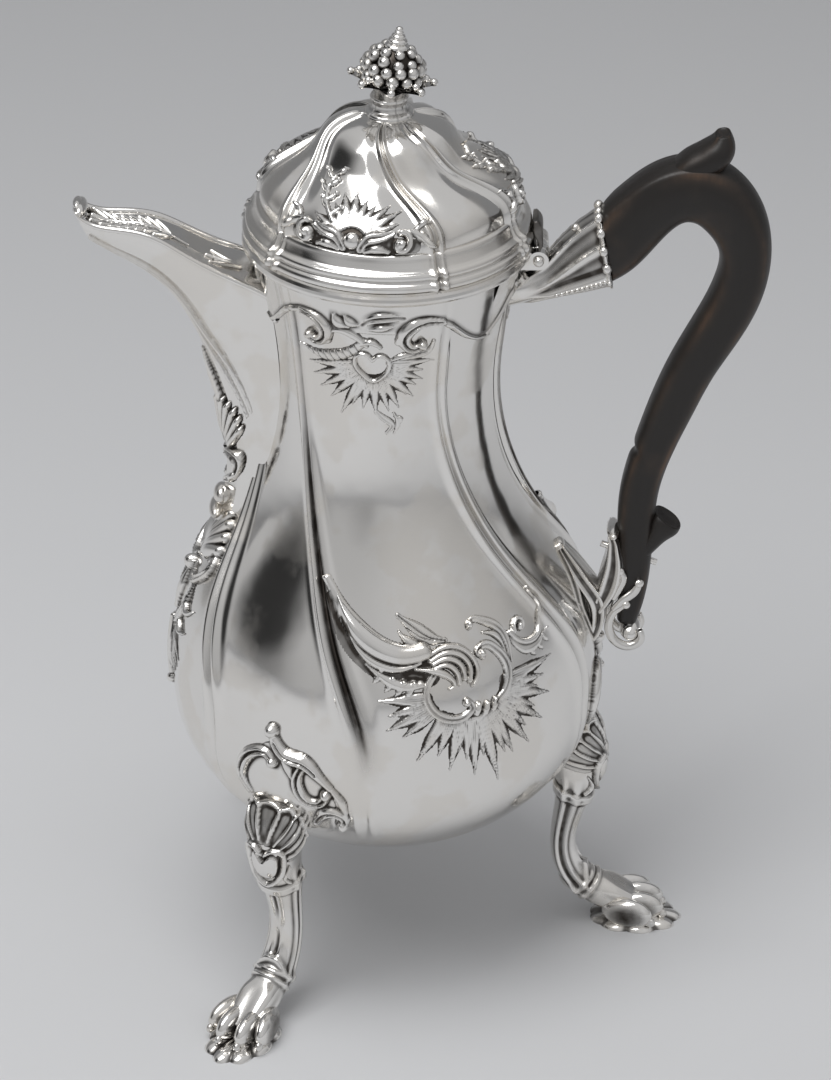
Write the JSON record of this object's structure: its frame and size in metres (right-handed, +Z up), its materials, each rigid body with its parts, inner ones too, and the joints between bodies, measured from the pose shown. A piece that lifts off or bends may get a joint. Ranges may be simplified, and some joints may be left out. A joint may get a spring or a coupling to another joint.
{
  "type": "silver coffee pot",
  "caption": "Pear-shaped footed metal coffee pot with a hinged domed lid, a covered spout, cast paw feet and a curved wooden handle pinned in sockets.",
  "frame": {"origin": "on the pot's vertical axis, on the table that its feet stand on", "axes": "+X towards the handle, -X towards the spout, +Z up through the finial"},
  "size_m": [0.2056, 0.1708, 0.3108],
  "materials": {
    "silver": "hand-planished and burnished silver with a soft mirror shine",
    "cast_silver": "cast and chased silver, bright on the high points, dark in the recesses",
    "dark_wood": "ebonised wood, waxed, worn brown on the edges"
  },
  "bodies": {
    "pot": {"body_shell": "silver", "rim_moulding": "silver", "body_hinge_plate": "silver", "hinge_pin": "silver", "spout": "silver", "spout_cover": "silver", "spout_edge_wires": "silver", "spout_drop": "cast_silver", "upper_socket": "cast_silver", "upper_socket_pin": "silver", "handle": "dark_wood", "lower_socket": "cast_silver", "lower_socket_plate": "cast_silver", "lower_socket_pin": "silver", "leg_rear": "cast_silver", "leg_left": "cast_silver", "leg_right": "cast_silver", "leg_plate_rear": "cast_silver", "leg_plate_left": "cast_silver", "leg_plate_right": "cast_silver"},
    "lid": {"lid_rim": "silver", "lid_bezel": "silver", "lid_dome": "silver", "lid_hinge_plate": "silver", "finial_collar": "silver", "finial_leaves": "cast_silver", "finial_cluster": "cast_silver", "finial_screw": "silver", "finial_nut": "silver"}
  },
  "joints": [
    {"name": "lid_hinge", "type": "hinge", "parent": "pot", "child": "lid", "pos_m": [0.0446, 0, 0.2402], "axis": [0, 1, 0], "range_deg": [0, 48]}
  ]
}
